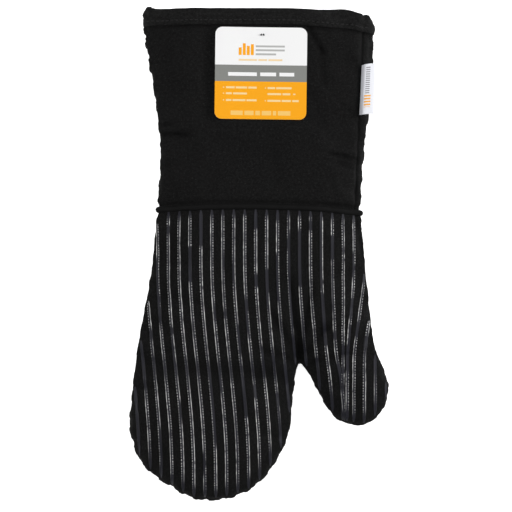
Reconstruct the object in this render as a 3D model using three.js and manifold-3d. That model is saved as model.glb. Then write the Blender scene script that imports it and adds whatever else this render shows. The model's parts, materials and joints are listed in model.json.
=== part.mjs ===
// A padded cotton oven mitt, lying palm up. Millimetres, +Z up, the cuff's mouth towards +Y and the
// thumb towards +X. The origin is the middle of the footprint, on the surface that the mitt lies on.
// Every panel is a cloth shell, a batting and a lining, nested inside each other with a small gap.
import * as THREE from "three";
import { mergeVertices } from "three/addons/utils/BufferGeometryUtils.js";
import Module from "manifold-3d";

const wasm = await Module();
wasm.setup();

// Overall sizes
const mittLength = 356; // mouth of the cuff to the fingertips
const mittThickness = 24; // lying flat
const mouthWidth = 166;
const wristWidth = 145; // the narrowest place, above the welt
const palmWidth = 162; // across the root of the thumb
const fingersWidth = 117.5;
const cuffLength = 146; // mouth to the middle of the welt
const crotchDepth = 110; // welt to the crotch of the thumb
const knuckleDepth = 124; // welt to the line where the fingers bend
const thumbSpan = 64.2; // crotch to the outer side of the thumb, across the mitt
const thumbLength = 46; // crotch to the tip of the thumb
const thumbRootRise = 14; // how far the thumb's fold climbs from the crotch to the outer edge
const crotchClearance = 5.1; // from the widest place of the fingers across to the crotch
const edgeFlat = 0.4; // height of the straight band in the middle of the rounded edge
const edgeSteps = 3; // facets of each half of the rounded edge

// Layers
const shellWall = 0.8;
const battingWall = 4;
const liningWall = 0.8;
const gap = 0.3; // between any two pieces that touch on the real mitt

// Trim
const hemHeight = 13;
const hemWall = 0.8;
const weltHeight = 4.2;
const weltProud = 0.6;
const tagWidth = 67;
const tagHeight = 68;
const tagThickness = 0.6;
const tagCorner = 5;
const tagBelowMouth = 13.5; // mouth to the card's top edge
const tagOffset = 1.6; // the card's middle, right of the middle line
const tagTilt = -0.7; // degrees
const tagHoleDrop = 5.6; // the card's top edge to its holes
const tagHoleSpacing = 2.6;
const tagHoleRadius = 0.9;
const staplePin = 0.45; // radius of the fastener's plastic filament
const stapleBar = 1.2; // half length of its end bars
const stapleLean = 20; // degrees: the two end bars lean together at the top
const labelWidth = 10.5;
const labelHeight = 37;
const labelThickness = 1.2; // the satin loop, two plies
const labelBelowMouth = 41;
const labelCrease = 0.4; // space between the two plies
const labelInset = 8.5; // the side seam, in from the mitt's edge
const labelFlare = 0.88; // share of the cuff's widening where the label is sewn in
const arcSteps = 6; // facets of a small arc
const pinSides = 8;
const weldDistance = 1e-4;

// Places that follow from the sizes
const mouthY = mittLength / 2;
const weltY = mouthY - cuffLength;
const crotchY = weltY - crotchDepth;
const knuckleY = weltY - knuckleDepth;
const halfThickness = mittThickness / 2;
const battingInset = shellWall + gap;
const liningInset = battingInset + battingWall + gap;
const cavityInset = liningInset + liningWall;
const leftOfFingers = -93.4; // in the outline's own frame, before it is centred
const crotchX = leftOfFingers + fingersWidth + crotchClearance;
const far = 2 * mittLength; // larger than the mitt, for the cutting blocks

// Outline stations: share of the zone's length, share of its widening, going down the left side
const cuffLeft = [[1.25, 1.02], [0.9, 1.02], [0.71, 0.58], [0.5, 0.14], [0.23, -0.12]];
const cuffRight = [[1.25, 0.93], [0.88, 0.94], [0.67, labelFlare], [0.47, 0.6], [0.33, 0.34], [0.13, 0.14]];
const palmLeft = [[0, 0.1], [0.31, 0.46], [0.57, 0.93], [0.85, 1.62]];
const palmRight = [[0.02, 0.15], [0.3, 0.42], [0.43, 0.56], [0.56, 0.74], [0.72, 0.93]];
// Fingers: shares of the half width and of the pocket's length below the knuckle line
const fingersLoop = [
  [-0.94, -0.05], [-0.98, 0.2], [-1, 0.37], [-0.96, 0.53], [-0.86, 0.68], [-0.67, 0.81], [-0.42, 0.92],
  [-0.2, 0.99], [0.08, 1], [0.38, 0.95], [0.63, 0.83], [0.81, 0.66], [0.93, 0.49], [0.98, 0.3],
  [1, 0.12], [1.04, -0.06],
];
// Thumb: shares of its span and of its length, from the crotch round to the outer edge
const thumbLoop = [
  [0, 0], [0.11, 0.18], [0.2, 0.42], [0.33, 0.74], [0.44, 0.92], [0.58, 0.99], [0.72, 1], [0.86, 0.89],
  [0.96, 0.7], [1, 0.46], [0.97, 0.21], [0.89, -0.04], [0.83, -0.3],
];

// One smooth closed outline of the whole mitt, its cuff running on past the mouth.
function mittOutline() {
  const cuffX = (side, flare) => (side * (wristWidth + flare * (mouthWidth - wristWidth))) / 2;
  const palmX = (side, flare) => (side * (wristWidth + flare * (palmWidth - wristWidth))) / 2;
  const fingersX = leftOfFingers + fingersWidth / 2;
  const fingersLength = knuckleY + mouthY;
  const place = {
    cuff: (side) => ([along, flare]) => [cuffX(side, flare), weltY + along * cuffLength],
    palm: (side) => ([along, flare]) => [palmX(side, flare), weltY - along * crotchDepth],
    fingers: ([across, along]) => [
      fingersX + (across * fingersWidth) / 2,
      knuckleY - along * fingersLength,
    ],
    thumb: ([across, along]) => [crotchX + across * thumbSpan, crotchY - along * thumbLength],
  };
  const stations = [
    ...cuffLeft.map(place.cuff(-1)),
    ...palmLeft.map(place.palm(-1)),
    ...fingersLoop.map(place.fingers),
    ...thumbLoop.map(place.thumb),
    ...palmRight.map(place.palm(1)).reverse(),
    ...cuffRight.map(place.cuff(1)).reverse(),
  ];
  return stations.map(([x, y]) => new THREE.Vector2(x, y));
}

const outline = mittOutline();

function toSolid(geometry) {
  const bare = geometry.clone();
  bare.deleteAttribute("normal");
  bare.deleteAttribute("uv");
  const merged = mergeVertices(bare, weldDistance);
  const mesh = new wasm.Mesh({
    numProp: 3,
    vertProperties: new Float32Array(merged.attributes.position.array),
    triVerts: new Uint32Array(merged.index.array),
  });
  return new wasm.Manifold(mesh);
}

function toGeometry(solid) {
  const { vertProperties, triVerts } = solid.getMesh();
  const geometry = new THREE.BufferGeometry();
  geometry.setAttribute("position", new THREE.BufferAttribute(vertProperties, 3));
  geometry.setIndex(new THREE.BufferAttribute(triVerts, 1));
  geometry.computeVertexNormals();
  return geometry;
}

// The mitt's outer form drawn in by inset all round: a flat pillow with half-round edges.
function pillow(inset) {
  const round = halfThickness - inset - edgeFlat / 2;
  const geometry = new THREE.ExtrudeGeometry(new THREE.Shape(outline), {
    depth: edgeFlat,
    bevelThickness: round,
    bevelSize: round,
    bevelOffset: -round - inset,
    bevelSegments: edgeSteps,
  });
  return toSolid(geometry.translate(0, 0, halfThickness - edgeFlat / 2));
}

// A tall block over a plan shape, used to cut a region out of the nested pillows.
function block(points, low = -far, high = far) {
  const shape = new THREE.Shape(points.map(([x, y]) => new THREE.Vector2(x, y)));
  const geometry = new THREE.ExtrudeGeometry(shape, { depth: high - low, bevelEnabled: false });
  return toSolid(geometry.translate(0, 0, low));
}

function strip(lowY, highY) {
  return block([[-far, lowY], [far, lowY], [far, highY], [-far, highY]]);
}

// Plan regions: a half gap is left on each side of every cut.
const foldSlope = thumbRootRise / thumbSpan;
const foldY = (x, shift) => crotchY + (x - crotchX) * foldSlope + shift;
const weltTop = weltY + weltHeight / 2;
const weltBottom = weltY - weltHeight / 2;
const hemBottom = mouthY - hemHeight;
const fingersCut = knuckleY - gap / 2;
const besideFingers = (shift) =>
  block([[crotchX, -far], [far, -far], [far, foldY(far, shift)], [crotchX, foldY(crotchX, shift)]]);
const regions = {
  cuff: strip(weltTop + gap, mouthY - hemWall - gap),
  palm: strip(knuckleY + gap / 2, weltBottom - gap).subtract(besideFingers(gap / 2)),
  fingers: block([[-far, -far], [crotchX, -far], [crotchX, fingersCut], [-far, fingersCut]]),
  thumb: besideFingers(-gap / 2),
};
const halves = {
  front: block([[-far, -far], [far, -far], [far, far], [-far, far]], halfThickness + gap / 2, far),
  back: block([[-far, -far], [far, -far], [far, far], [-far, far]], -far, halfThickness - gap / 2),
};

const cloth = (color) => new THREE.MeshStandardMaterial({ color, roughness: 0.95, metalness: 0 });
const materials = {
  shell: cloth(0x18181a),
  batting: cloth(0xd9d6cc),
  lining: cloth(0x2a2a2d),
  trim: cloth(0x161617),
  label: new THREE.MeshStandardMaterial({ color: 0xe6e8ea, roughness: 0.45, metalness: 0 }),
  card: new THREE.MeshStandardMaterial({ color: 0xf3f3f1, roughness: 0.5, metalness: 0 }),
  plastic: new THREE.MeshStandardMaterial({ color: 0x101010, roughness: 0.35, metalness: 0 }),
};

const mitt = new THREE.Group();
mitt.name = "oven_mitt";

function add(name, solid, material, parent = mitt) {
  const mesh = new THREE.Mesh(toGeometry(solid), material);
  mesh.name = name;
  parent.add(mesh);
  return mesh;
}

// Shell, batting and lining of every region, front and back
function addPanels() {
  const layers = {
    shell: pillow(0).subtract(pillow(shellWall)),
    batting: pillow(battingInset).subtract(pillow(battingInset + battingWall)),
    lining: pillow(liningInset).subtract(pillow(cavityInset)),
  };
  const belowHem = strip(-far, hemBottom - gap);
  for (const [region, plan] of Object.entries(regions)) {
    for (const [side, half] of Object.entries(halves)) {
      for (const [layer, walls] of Object.entries(layers)) {
        const panel = walls.intersect(plan).intersect(half);
        const isCuffShell = region === "cuff" && layer === "shell";
        const cut = isCuffShell ? panel.intersect(belowHem) : panel;
        add(`${region}_${side}_${layer}`, cut, materials[layer]);
      }
    }
  }
}

// The turned hem wraps the mouth's edge: an outer ply, a fold over the layers, and an inner ply.
function addHem() {
  const innerPly = cavityInset + gap;
  const ring = pillow(0).subtract(pillow(innerPly + hemWall)).intersect(strip(hemBottom, mouthY));
  const pocket = pillow(hemWall).subtract(pillow(innerPly)).intersect(strip(-far, mouthY - hemWall));
  add("cuff_hem", ring.subtract(pocket), materials.trim);
}

// The welt is a folded strip sewn between cuff and hand. It stands proud except where the mitt rests.
function addWelts() {
  const band = strip(weltBottom, weltTop);
  const front = pillow(-weltProud).subtract(pillow(shellWall)).intersect(band);
  const back = pillow(0).subtract(pillow(shellWall)).intersect(band);
  add("front_welt", front.intersect(halves.front), materials.trim);
  add("back_welt", back.intersect(halves.back), materials.trim);
}

// A woven satin loop caught in the side seam of the cuff: a folded ribbon, open along its ends
function addSideLabel() {
  const ply = (labelThickness - labelCrease) / 2;
  const round = labelThickness / 2;
  const straight = labelWidth - round;
  const section = new THREE.Shape();
  section.moveTo(0, 0);
  section.lineTo(straight, 0);
  section.absarc(straight, round, round, -Math.PI / 2, Math.PI / 2);
  section.lineTo(0, labelThickness);
  section.lineTo(0, labelThickness - ply);
  section.lineTo(straight, labelThickness - ply);
  section.lineTo(straight, ply);
  section.lineTo(ply, ply);
  section.lineTo(ply, ply + labelCrease / 2);
  section.lineTo(0, ply + labelCrease / 2);
  const geometry = new THREE.ExtrudeGeometry(section, {
    depth: labelHeight,
    bevelEnabled: false,
    curveSegments: arcSteps,
  });
  geometry.rotateX(Math.PI / 2);
  const top = mouthY - labelBelowMouth;
  const edge = (wristWidth + labelFlare * (mouthWidth - wristWidth)) / 2;
  geometry.translate(edge - labelInset, top, mittThickness + gap);
  add("side_label", toSolid(geometry), materials.label);
}

function roundedCard() {
  const [w, h, r] = [tagWidth / 2, tagHeight, tagCorner];
  const shape = new THREE.Shape();
  shape.moveTo(-w + r, -h);
  shape.lineTo(w - r, -h);
  shape.absarc(w - r, -h + r, r, -Math.PI / 2, 0);
  shape.lineTo(w, -r);
  shape.absarc(w - r, -r, r, 0, Math.PI / 2);
  shape.lineTo(-w + r, 0);
  shape.absarc(-w + r, -r, r, Math.PI / 2, Math.PI);
  shape.lineTo(-w, -h + r);
  shape.absarc(-w + r, -h + r, r, Math.PI, Math.PI * 1.5);
  for (const side of [-1, 1]) {
    const hole = new THREE.Path();
    hole.absarc((side * tagHoleSpacing) / 2, -tagHoleDrop, tagHoleRadius, 0, Math.PI * 2);
    shape.holes.push(hole);
  }
  return new THREE.ExtrudeGeometry(shape, {
    depth: tagThickness,
    bevelEnabled: false,
    curveSegments: arcSteps,
  });
}

// The fastener is a two-legged staple: a bar under the card, a leg up each hole, an end bar on each leg.
function stapleSolid() {
  const lowBar = -(gap + staplePin);
  const highBar = tagThickness + gap + staplePin;
  const lean = THREE.MathUtils.degToRad(stapleLean);
  const rod = (length) => new THREE.CylinderGeometry(staplePin, staplePin, length, pinSides);
  const leg = rod(highBar - lowBar).rotateX(Math.PI / 2);
  const end = rod(stapleBar * 2);
  const under = rod(tagHoleSpacing + staplePin).rotateZ(Math.PI / 2);
  let staple = toSolid(under.translate(0, -tagHoleDrop, lowBar));
  for (const side of [-1, 1]) {
    const x = (side * tagHoleSpacing) / 2;
    const legAt = leg.clone().translate(x, -tagHoleDrop, (lowBar + highBar) / 2);
    const endAt = end.clone().rotateZ(side * lean).translate(x, -tagHoleDrop, highBar);
    staple = staple.add(toSolid(legAt)).add(toSolid(endAt));
  }
  return staple;
}

// The hang tag lies on the cuff, above the staple's lower bar
function addHangTag() {
  const tag = new THREE.Group();
  tag.position.set(tagOffset, mouthY - tagBelowMouth, mittThickness + 2 * (gap + staplePin));
  tag.rotation.z = THREE.MathUtils.degToRad(tagTilt);
  add("hang_tag", toSolid(roundedCard()), materials.card, tag);
  add("tag_fastener", stapleSolid(), materials.plastic, tag);
  mitt.add(tag);
}

// Slides the mitt sideways so that the middle of its outline is at the origin
function centre() {
  const box = new THREE.Box2().setFromPoints(outline);
  mitt.position.x = -(box.min.x + box.max.x) / 2;
}

addPanels();
addHem();
addWelts();
addSideLabel();
addHangTag();
centre();

export default mitt;
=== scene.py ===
import json
import math
import bmesh
import bpy
from mathutils import Matrix, Vector, noise
from mathutils.bvhtree import BVHTree
from mathutils.kdtree import KDTree

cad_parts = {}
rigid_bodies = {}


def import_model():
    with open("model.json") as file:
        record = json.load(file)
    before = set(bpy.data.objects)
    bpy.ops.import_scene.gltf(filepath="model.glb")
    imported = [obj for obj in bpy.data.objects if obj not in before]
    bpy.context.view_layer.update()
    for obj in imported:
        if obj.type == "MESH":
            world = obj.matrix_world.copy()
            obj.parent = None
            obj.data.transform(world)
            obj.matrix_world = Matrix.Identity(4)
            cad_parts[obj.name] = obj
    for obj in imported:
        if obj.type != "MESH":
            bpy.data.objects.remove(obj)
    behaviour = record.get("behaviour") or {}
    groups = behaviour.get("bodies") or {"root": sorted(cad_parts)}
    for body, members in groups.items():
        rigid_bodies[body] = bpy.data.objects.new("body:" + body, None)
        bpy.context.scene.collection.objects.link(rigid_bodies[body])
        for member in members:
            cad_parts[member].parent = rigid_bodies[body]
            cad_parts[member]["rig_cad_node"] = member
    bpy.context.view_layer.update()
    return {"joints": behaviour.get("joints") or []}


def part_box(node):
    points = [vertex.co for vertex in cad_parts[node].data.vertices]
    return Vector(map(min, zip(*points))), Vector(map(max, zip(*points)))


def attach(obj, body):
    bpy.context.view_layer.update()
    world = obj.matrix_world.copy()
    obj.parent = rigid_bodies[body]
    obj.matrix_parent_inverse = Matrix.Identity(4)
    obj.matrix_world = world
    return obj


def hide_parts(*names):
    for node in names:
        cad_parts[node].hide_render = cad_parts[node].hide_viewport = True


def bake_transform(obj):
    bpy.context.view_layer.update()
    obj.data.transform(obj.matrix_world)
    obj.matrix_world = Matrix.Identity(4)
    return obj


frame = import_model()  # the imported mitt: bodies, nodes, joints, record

mm = 0.001

# where the CAD puts things, in metres
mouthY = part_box("cuff_hem")[1][1]
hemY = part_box("cuff_hem")[0][1]
weltY = (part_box("front_welt")[0][1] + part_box("front_welt")[1][1]) / 2
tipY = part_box("fingers_front_shell")[0][1]
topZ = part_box("palm_front_shell")[1][2]
midZ = topZ / 2
joints = {joint["name"]: joint for joint in frame["joints"]}
foldPoint = Vector(joints["thumb_fold"]["pos_m"])
tagAxis = Vector(joints["tag_lift"]["axis"])
labelHinge = Vector(joints["label_flap"]["pos_m"])
foldAlong = -Vector(joints["thumb_fold"]["axis"]).normalized()  # from the crotch to the outer edge
foldDown = Vector((foldAlong.y, -foldAlong.x, 0))  # towards the tip of the thumb
crotch = foldPoint.xy


def smooth(low, high, value):
    t = min(max((value - low) / (high - low), 0.0), 1.0)
    return t * t * (3 - 2 * t)


def bump(value, centre, width):
    return math.exp(-(((value - centre) / width) ** 2))


def keepMesh(name, bm, shade=True):
    mesh = bpy.data.meshes.new(name)
    bm.to_mesh(mesh)
    bm.free()
    piece = bpy.data.objects.new(name, mesh)
    bpy.context.scene.collection.objects.link(piece)
    if shade:
        mesh.shade_smooth()
    return piece


def gridColumns(bm, columns, rows):  # a new grid's vertices, column after column
    made = bmesh.ops.create_grid(bm, x_segments=columns - 1, y_segments=rows - 1, size=0.5)["verts"]
    return sorted(made, key=lambda v: (round(v.co.x, 5), round(v.co.y, 5)))


def cutPlane(bm, place, facing, **options):
    geometry = bm.verts[:] + bm.edges[:] + bm.faces[:]
    bmesh.ops.bisect_plane(bm, geom=geometry, plane_co=place, plane_no=facing, **options)


def frozen(piece, name):  # the piece with its modifiers applied, as a new object
    bpy.context.view_layer.update()
    graph = bpy.context.evaluated_depsgraph_get()
    mesh = bpy.data.meshes.new_from_object(piece.evaluated_get(graph), depsgraph=graph)
    mesh.name = name
    made = bpy.data.objects.new(name, mesh)
    bpy.context.scene.collection.objects.link(made)
    mesh.shade_smooth()
    return made


def discard(piece):
    bpy.data.objects.remove(piece, do_unlink=True)


# node helpers
def newMaterial(name):
    material = bpy.data.materials.new(name)
    material.use_nodes = True
    tree = material.node_tree
    return material, tree, tree.nodes["Principled BSDF"]


def mathNode(tree, operation, a, b=None, c=None, clamp=False):
    node = tree.nodes.new("ShaderNodeMath")
    node.operation = operation
    node.use_clamp = clamp
    for socket, value in zip(node.inputs, (a, b, c)):
        if value is None:
            continue
        if isinstance(value, (int, float)):
            socket.default_value = value
        else:
            tree.links.new(value, socket)
    return node.outputs[0]


def times(tree, a, b, clamp=False):
    return mathNode(tree, "MULTIPLY", a, b, clamp=clamp)


def less(tree, a, b, clamp=False):
    return mathNode(tree, "SUBTRACT", a, b, clamp=clamp)


def scaled(tree, a, gain, offset, clamp=False):
    return mathNode(tree, "MULTIPLY_ADD", a, gain, offset, clamp)


def absolute(tree, a):
    return mathNode(tree, "ABSOLUTE", a)


def mixColour(tree, share, a, b):
    node = tree.nodes.new("ShaderNodeMix")
    node.data_type = "RGBA"
    for socket, value in ((node.inputs[0], share), (node.inputs[6], a), (node.inputs[7], b)):
        if isinstance(value, (int, float)):
            socket.default_value = value
        elif isinstance(value, tuple):
            socket.default_value = (*value, 1)
        else:
            tree.links.new(value, socket)
    return node.outputs[2]


def noiseNode(tree, vector, scale, detail=2.0, roughness=0.5):
    node = tree.nodes.new("ShaderNodeTexNoise")
    node.inputs["Scale"].default_value = scale
    node.inputs["Detail"].default_value = detail
    node.inputs["Roughness"].default_value = roughness
    tree.links.new(vector, node.inputs["Vector"])
    return node.outputs["Fac"]


def splitNode(tree, vector):  # its x, y and z
    node = tree.nodes.new("ShaderNodeSeparateXYZ")
    tree.links.new(vector, node.inputs[0])
    return node.outputs


def uvNode(tree, name):
    node = tree.nodes.new("ShaderNodeUVMap")
    node.uv_map = name
    return node.outputs["UV"]


def bumpInto(tree, shader, height, distance, strength=1.0):
    node = tree.nodes.new("ShaderNodeBump")
    node.inputs["Distance"].default_value = distance
    node.inputs["Strength"].default_value = strength
    tree.links.new(height, node.inputs["Height"])
    tree.links.new(node.outputs["Normal"], shader.inputs["Normal"])


# camera and light
cameraSetup = {"lens": 100, "sensor": 36, "across": 370.4 * mm, "centre": (-2.1 * mm, -2.0 * mm)}


def addCamera():
    data = bpy.data.cameras.new("camera")
    data.lens = cameraSetup["lens"]
    data.sensor_width = cameraSetup["sensor"]
    camera = bpy.data.objects.new("camera", data)
    x, y = cameraSetup["centre"]
    away = cameraSetup["across"] * data.lens / data.sensor_width
    camera.location = (x, y, topZ * 0.7 + away)
    bpy.context.scene.collection.objects.link(camera)
    bpy.context.scene.camera = camera


lightSetup = {
    "world": 0.28,
    "backdrop": 1.2,  # plain white behind the mitt
    "floorGlow": 0.85,  # the mitt lies on a light table
    "soft": [  # name, place, size, watts, aimed at
        ("overhead", (0.0, 0.25, 1.3), (1.4, 1.2), 7.9, (0, 0, 0)),
        ("leftStrip", (-0.95, 0.1, 0.6), (0.25, 1.2), 3.0, (0, 0, 0)),
        ("rightStrip", (1.8, 0.5, 0.95), (0.3, 0.9), 27, (0, 0, 0)),
    ],
}


def addLights():
    scene = bpy.context.scene
    scene.view_settings.view_transform = "Standard"
    world = bpy.data.worlds.new("studio")
    world.use_nodes = True
    tree = world.node_tree
    background = tree.nodes["Background"]
    background.inputs["Color"].default_value = (1, 1, 1, 1)
    seen = tree.nodes.new("ShaderNodeLightPath").outputs["Is Camera Ray"]
    strength = scaled(tree, seen, lightSetup["backdrop"] - lightSetup["world"], lightSetup["world"])
    tree.links.new(strength, background.inputs["Strength"])
    scene.world = world
    for name, place, size, watts, aim in lightSetup["soft"]:
        data = bpy.data.lights.new(name, "AREA")
        data.shape = "RECTANGLE"
        data.size, data.size_y = size
        data.energy = watts
        lamp = bpy.data.objects.new(name, data)
        lamp.location = place
        lamp.rotation_euler = (Vector(aim) - Vector(place)).to_track_quat("-Z", "Y").to_euler()
        scene.collection.objects.link(lamp)


floorSetup = {"half": 4, "below": 0.2 * mm, "grey": 0.92, "roughness": 0.9}


def addFloor():
    bm = bmesh.new()
    bmesh.ops.create_grid(bm, x_segments=1, y_segments=1, size=floorSetup["half"])
    bmesh.ops.translate(bm, vec=(0, 0, -floorSetup["below"]), verts=bm.verts)
    floor = keepMesh("floor", bm, shade=False)
    material, tree, shader = newMaterial("paleFloor")
    shader.inputs["Base Color"].default_value = (*[floorSetup["grey"]] * 3, 1)
    shader.inputs["Roughness"].default_value = floorSetup["roughness"]
    shader.inputs["Emission Color"].default_value = (1, 1, 1, 1)
    shader.inputs["Emission Strength"].default_value = lightSetup["floorGlow"]
    floor.data.materials.append(material)


addCamera()
addLights()
addFloor()
print("studio ready")

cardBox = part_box("hang_tag")
cardMiddle = (Vector(cardBox[0]) + Vector(cardBox[1])) / 2
mittShape = {
    "step": 4 * mm,  # along the outline
    "startHalf": 8.6 * mm,  # half thickness before the cloth is blown up
    "edgeRound": 13 * mm,  # how far in the rounded edge reaches
    "voxel": 3.0 * mm,
    "frames": 20,
    "cap": 6 * mm,
    # the bag runs on past the mouth, drawn in: inwards, above the mouth
    "beyondMouth": [(-0.5 * mm, -8 * mm), (2.7 * mm, 0), (5.9 * mm, 9 * mm), (8 * mm, 24 * mm)],
}


def splinePoint(a, b, c, d, t):  # Catmull-Rom between b and c
    return 0.5 * (
        2 * b + (c - a) * t + (2 * a - 5 * b + 4 * c - d) * t * t + (3 * b - a - 3 * c + d) * t**3
    )


def coverRim():  # the rims of the CAD covers' outer skins, joined across the cuts between them
    bm = bmesh.new()
    for name in ("cuff_front_shell", "palm_front_shell", "fingers_front_shell", "thumb_front_shell"):
        bm.from_mesh([o for o in bpy.data.objects if o.get("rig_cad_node") == name][0].data)
    bmesh.ops.remove_doubles(bm, verts=bm.verts, dist=0.001 * mm)
    bm.normal_update()
    bmesh.ops.delete(bm, geom=[f for f in bm.faces if f.normal.z < 0.02], context="FACES")
    lowest = midZ + 0.3 * mm
    rim = [e for e in bm.edges if e.is_boundary and all(v.co.z < lowest for v in e.verts)]
    pairs = [[v.co.xy.copy() for v in e.verts] for e in rim]
    bm.free()
    chain = bmesh.new()
    for pair in pairs:
        chain.edges.new([chain.verts.new((*p, 0)) for p in pair])
    bmesh.ops.remove_doubles(chain, verts=chain.verts, dist=0.45 * mm)
    runs = openRuns(chain)
    chain.free()
    runs.sort(key=lambda run: min(p.x - p.y for p in (run[0], run[-1])))  # the cuff's left corner first
    stations = runs[0] if runs[0][0].y > runs[0][-1].y else runs[0][::-1]
    left = runs[1:]
    while left:
        here = stations[-1]
        run = min(left, key=lambda run: min((run[0] - here).length, (run[-1] - here).length))
        left.remove(run)
        stations += run if (run[0] - here).length < (run[-1] - here).length else run[::-1]
    return stations


def openRuns(chain):  # each open run of edges, as points in order
    runs, seen = [], set()
    for start in sorted((v for v in chain.verts if len(v.link_edges) == 1), key=lambda v: v.co.x):
        if start in seen:
            continue
        run, last, v = [start.co.xy.copy()], None, start
        while last is None or len(v.link_edges) == 2:
            last = [e for e in v.link_edges if e is not last][0]
            v = last.other_vert(v)
            run.append(v.co.xy.copy())
        seen.add(v)
        runs.append(run)
    return runs


def turns(a, b, c):
    return (b - a).angle(c - b) > math.radians(1)


def outlinePath():  # anticlockwise from the crotch, round the thumb and back round the fingers
    rim = coverRim()
    rim = [p for i, p in enumerate(rim) if i in (0, len(rim) - 1) or turns(rim[i - 1], p, rim[i + 1])]
    left, right = rim[0].x, rim[-1].x
    beyond = mittShape["beyondMouth"]
    rim += [Vector((right - inwards, mouthY + up)) for inwards, up in beyond]
    rim += [Vector((left + inwards, mouthY + up)) for inwards, up in reversed(beyond)]
    first = min(range(len(rim)), key=lambda i: (rim[i] - crotch).length)
    stations = rim[first:] + rim[: first + 1]
    points = []
    for i in range(len(stations) - 1):
        a, b = stations[max(i - 1, 0)], stations[i]
        c, d = stations[i + 1], stations[min(i + 2, len(stations) - 1)]
        steps = max(1, round((c - b).length / mittShape["step"]))
        points += [splinePoint(a, b, c, d, k / steps) for k in range(steps)]
    return points


outline = outlinePath()
print("outline walked")
outlineTree = KDTree(len(outline))
for index, point in enumerate(outline):
    outlineTree.insert((point.x, point.y, 0), index)
outlineTree.balance()


def edgeOf(x, y):  # distance in from the outline, the way out, and how far round it is
    near, index, away = outlineTree.find((x, y, 0))
    before, after = outline[index - 1], outline[(index + 1) % len(outline)]
    tangent = (after - before).normalized()
    out = Vector((tangent.y, -tangent.x, 0))
    inward = -(Vector((x, y, 0)) - near).dot(out)
    return inward, out, index * mittShape["step"]


def addStartForm():
    bm = bmesh.new()
    ring = [bm.verts.new((p.x, p.y, midZ)) for p in outline]
    face = bm.faces.new(ring)
    bm.normal_update()
    if face.normal.z < 0:
        face.normal_flip()
    under = bmesh.ops.duplicate(bm, geom=[face])["geom"]
    underFace = [g for g in under if isinstance(g, bmesh.types.BMFace)][0]
    underFace.normal_flip()
    steps = 5
    for side in (face, underFace):
        reachBefore, riseBefore = 0.0, 0.0
        for k in range(1, steps + 1):
            angle = k / steps * math.pi / 2
            reach = mittShape["edgeRound"] * (1 - math.cos(angle))
            rise = mittShape["startHalf"] * math.sin(angle)
            bmesh.ops.inset_region(
                bm, faces=[side], thickness=reach - reachBefore, depth=rise - riseBefore,
                use_even_offset=True, use_boundary=True,
            )
            reachBefore, riseBefore = reach, rise
    bmesh.ops.remove_doubles(bm, verts=bm.verts, dist=0.05 * mm)
    bmesh.ops.triangulate(bm, faces=bm.faces)
    bmesh.ops.recalc_face_normals(bm, faces=bm.faces)
    return keepMesh("startForm", bm)


clothSetup = {
    "quality": 5,
    "mass": 0.25,
    "tension_stiffness": 25,
    "compression_stiffness": 25,
    "shear_stiffness": 8,
    "bending_stiffness": 0.4,
    "use_pressure": True,
    "uniform_pressure_force": 4.0,
    "shrink_min": -0.03,  # extra cloth, which puckers along the seams
    "vertex_group_mass": "seam",
    "pin_stiffness": 1,
}


def blowUp(start):  # the sewn bag of cloth, blown up by pressure with its seam held
    remesh = start.modifiers.new("remesh", "REMESH")
    remesh.mode = "VOXEL"
    remesh.voxel_size = mittShape["voxel"]
    bag = frozen(start, "bag")
    discard(start)
    rest = [v.co.copy() for v in bag.data.vertices]
    seam = bag.vertex_groups.new(name="seam")
    for i, co in enumerate(rest):
        inward, out, along = edgeOf(co.x, co.y)
        hold = bump(co.z, midZ, 2.2 * mm) * (1 - smooth(1 * mm, 5 * mm, inward))
        seam.add([i], max(hold, 0.02), "REPLACE")
        bag.data.vertices[i].co.z += 0.25 * mm * noise.noise(co * 160)
    cloth = bag.modifiers.new("cloth", "CLOTH")
    settings = cloth.settings
    for name, value in clothSetup.items():
        setattr(settings, name, value)
    settings.effector_weights.gravity = 0
    cloth.point_cache.frame_end = mittShape["frames"]
    for number in range(1, mittShape["frames"] + 1):
        bpy.context.scene.frame_set(number)
    blown = frozen(bag, "blown")
    for vertex, home in zip(blown.data.vertices, rest):
        moved = vertex.co - home
        if moved.length > mittShape["cap"]:
            vertex.co = home + moved.normalized() * mittShape["cap"]
    bpy.context.scene.frame_set(1)
    discard(bag)
    return blown


# how the blown-up cloth settles: flattened underneath, pinched at the welt, creased by use
settleShape = {
    "floorSoft": 0.6 * mm,
    "beadLift": 0.5 * mm,  # the beads underneath hold the hand off the floor
    "weltPinch": 1.3 * mm,
    "seamGroove": 0.7 * mm,
    "scallop": 0.9 * mm,  # puckers along the seams
    "scallopPitch": 14 * mm,
    "billow": 0.9 * mm,
    "crumple": 0.3 * mm,
    "seamRoll": 2.4 * mm,  # the side seam's allowance lifts the cuff there
    "rimOut": 1.35 * mm,  # the padding pushes the seams out
    "crown": 0.9,  # how much of the blown height is kept once the mitt lies under its own weight
    "cardPress": 25.15 * mm,  # the card holds the cuff down to here
}
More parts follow.
